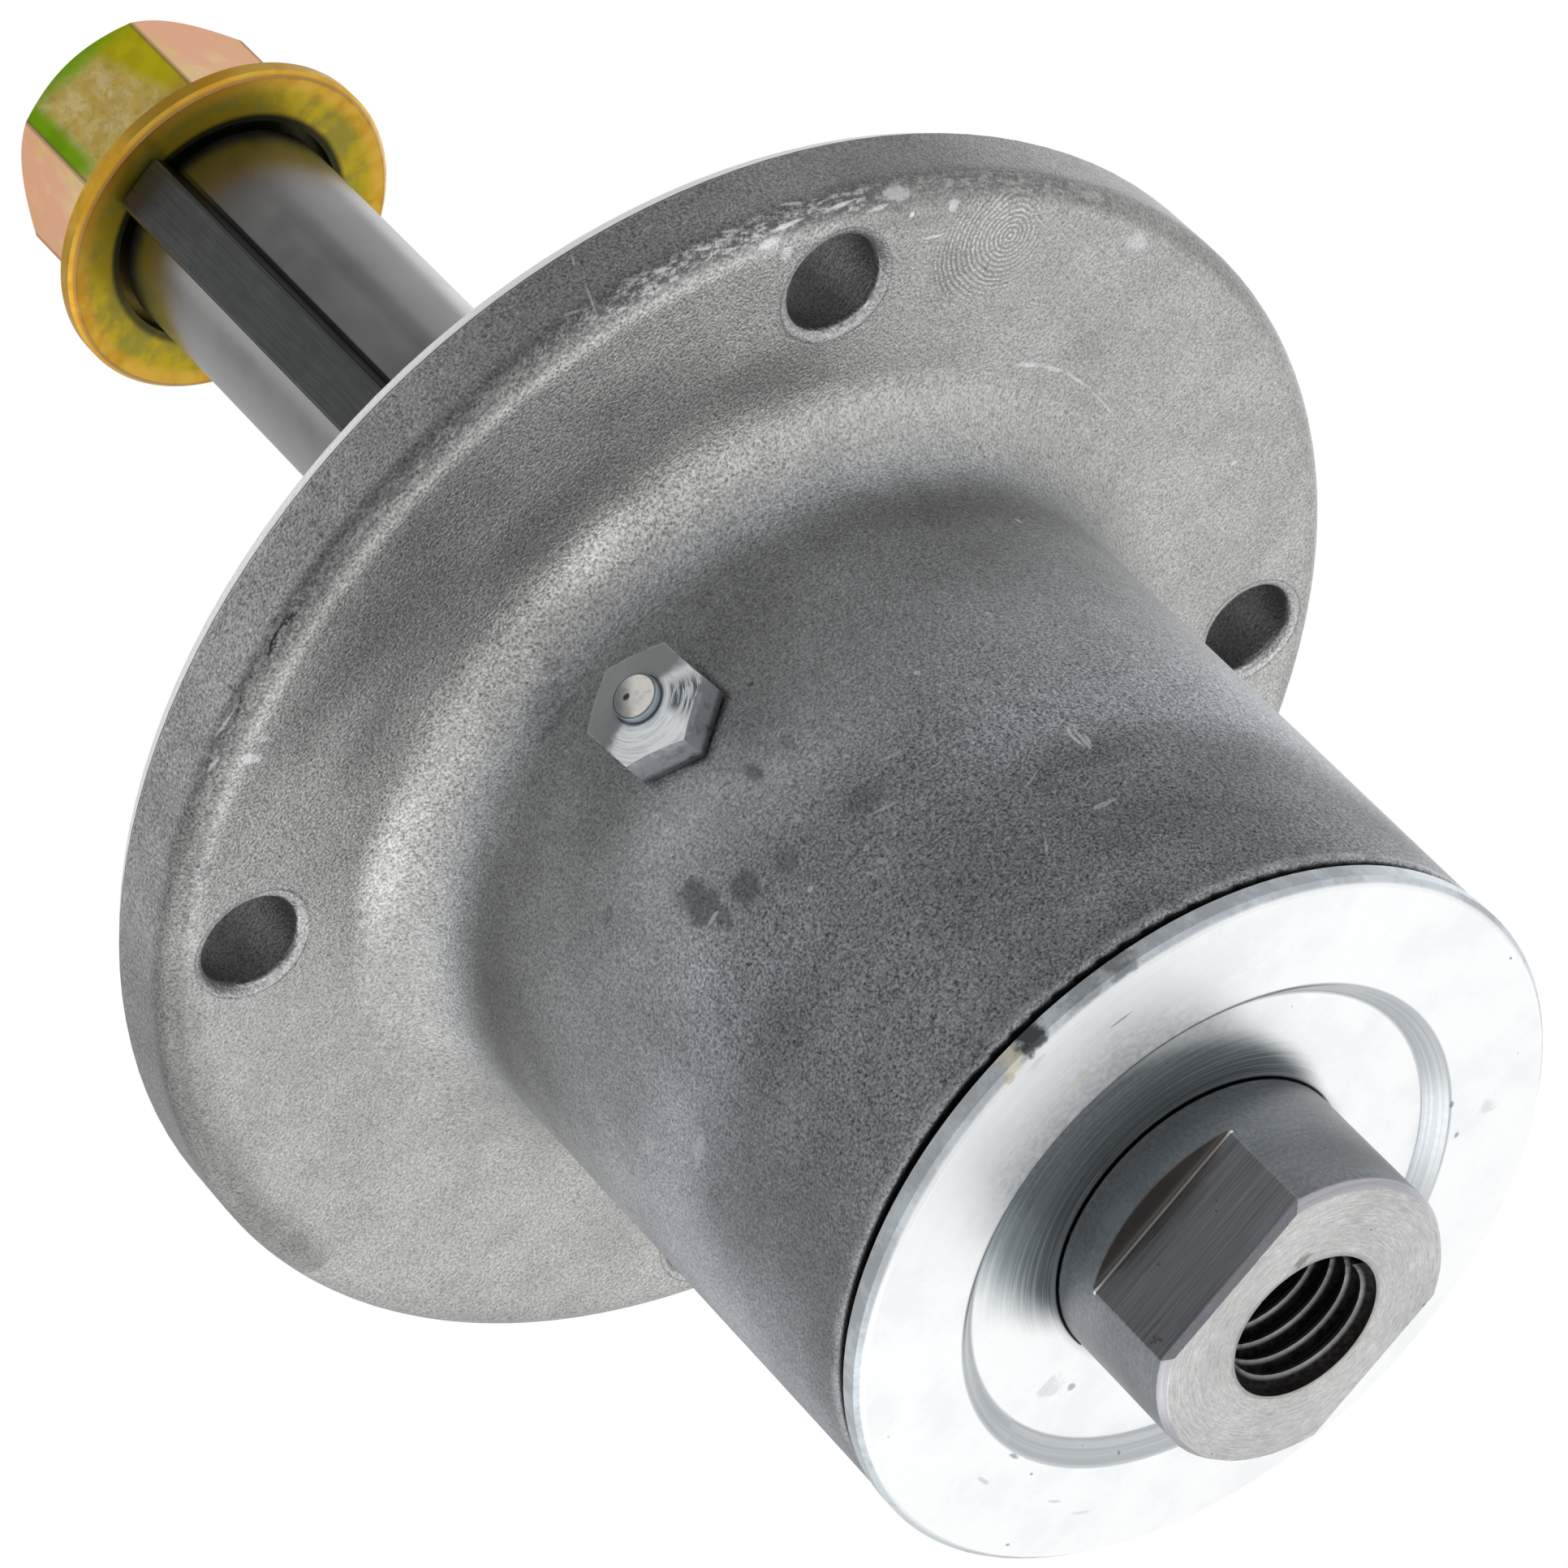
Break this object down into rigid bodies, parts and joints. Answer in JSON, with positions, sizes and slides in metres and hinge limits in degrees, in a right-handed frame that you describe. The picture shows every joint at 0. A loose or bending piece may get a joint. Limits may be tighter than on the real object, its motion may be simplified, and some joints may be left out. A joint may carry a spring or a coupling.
{
  "type": "mower deck spindle",
  "caption": "Bearing spindle for a mower deck: flanged cast housing, keyed shaft with a flatted blade end, dust caps, hexagon pulley nut and a grease relief valve on the side.",
  "frame": {"origin": "centre of the machined flange face that bolts up under the mower deck, on the spindle axis", "axes": "+Z along the spindle axis from the blade end to the pulley nut, -Y through the grease relief valve on the barrel, +X by the right-hand rule"},
  "size_m": [0.1354, 0.1354, 0.2201],
  "materials": {
    "cast_aluminium": "as cast, matt, with machined faces",
    "shaft_steel": "turned and ground",
    "key_steel": "dark drawn key bar",
    "zinc_plate": "bright zinc plate over turned steel",
    "bearing_steel": "ground",
    "ball_steel": "polished",
    "cage_plastic": "moulded nylon",
    "seal_rubber": "moulded",
    "spacer_steel": "drawn tube",
    "yellow_zinc": "yellow chromate over zinc on steel",
    "locking_nylon": "moulded nylon",
    "valve_zinc": "bright zinc plate over turned steel",
    "spring_steel": "drawn wire"
  },
  "bodies": {
    "housing_body": {"housing": "cast_aluminium", "lower_outer_race": "bearing_steel", "upper_outer_race": "bearing_steel", "lower_bearing_seal": "seal_rubber", "upper_bearing_seal": "seal_rubber", "relief_valve_body": "valve_zinc", "relief_valve_spring": "spring_steel"},
    "spindle": {"spindle_shaft": "shaft_steel", "pulley_key": "key_steel", "pulley_nut": "yellow_zinc", "nut_locking_ring": "locking_nylon", "lower_dust_cap": "zinc_plate", "upper_dust_cap": "zinc_plate", "lower_inner_race": "bearing_steel", "upper_inner_race": "bearing_steel", "bearing_spacer": "spacer_steel"},
    "lower_ball_set": {"lower_bearing_balls": "ball_steel", "lower_ball_cage": "cage_plastic"},
    "upper_ball_set": {"upper_bearing_balls": "ball_steel", "upper_ball_cage": "cage_plastic"},
    "relief_poppet": {"relief_valve_poppet": "valve_zinc"}
  },
  "joints": [
    {"name": "spindle_spin", "type": "hinge", "parent": "housing_body", "child": "spindle", "pos_m": [0, 0, 0], "axis": [0, 0, 1], "continuous": true},
    {"name": "lower_ball_spin", "type": "hinge", "parent": "housing_body", "child": "lower_ball_set", "pos_m": [0, 0, -0.0727], "axis": [0, 0, 1], "continuous": true},
    {"name": "upper_ball_spin", "type": "hinge", "parent": "housing_body", "child": "upper_ball_set", "pos_m": [0, 0, -0.005], "axis": [0, 0, 1], "continuous": true},
    {"name": "relief_slide", "type": "slide", "parent": "housing_body", "child": "relief_poppet", "axis": [0, -1, 0], "range_m": [0, 0.0006], "stiffness_N_per_m": 2000, "springref_m": -0.0002}
  ],
  "couplings": [
    {"joint": "lower_ball_spin", "follows": "spindle_spin", "ratio": 0.3684},
    {"joint": "upper_ball_spin", "follows": "spindle_spin", "ratio": 0.3684}
  ]
}
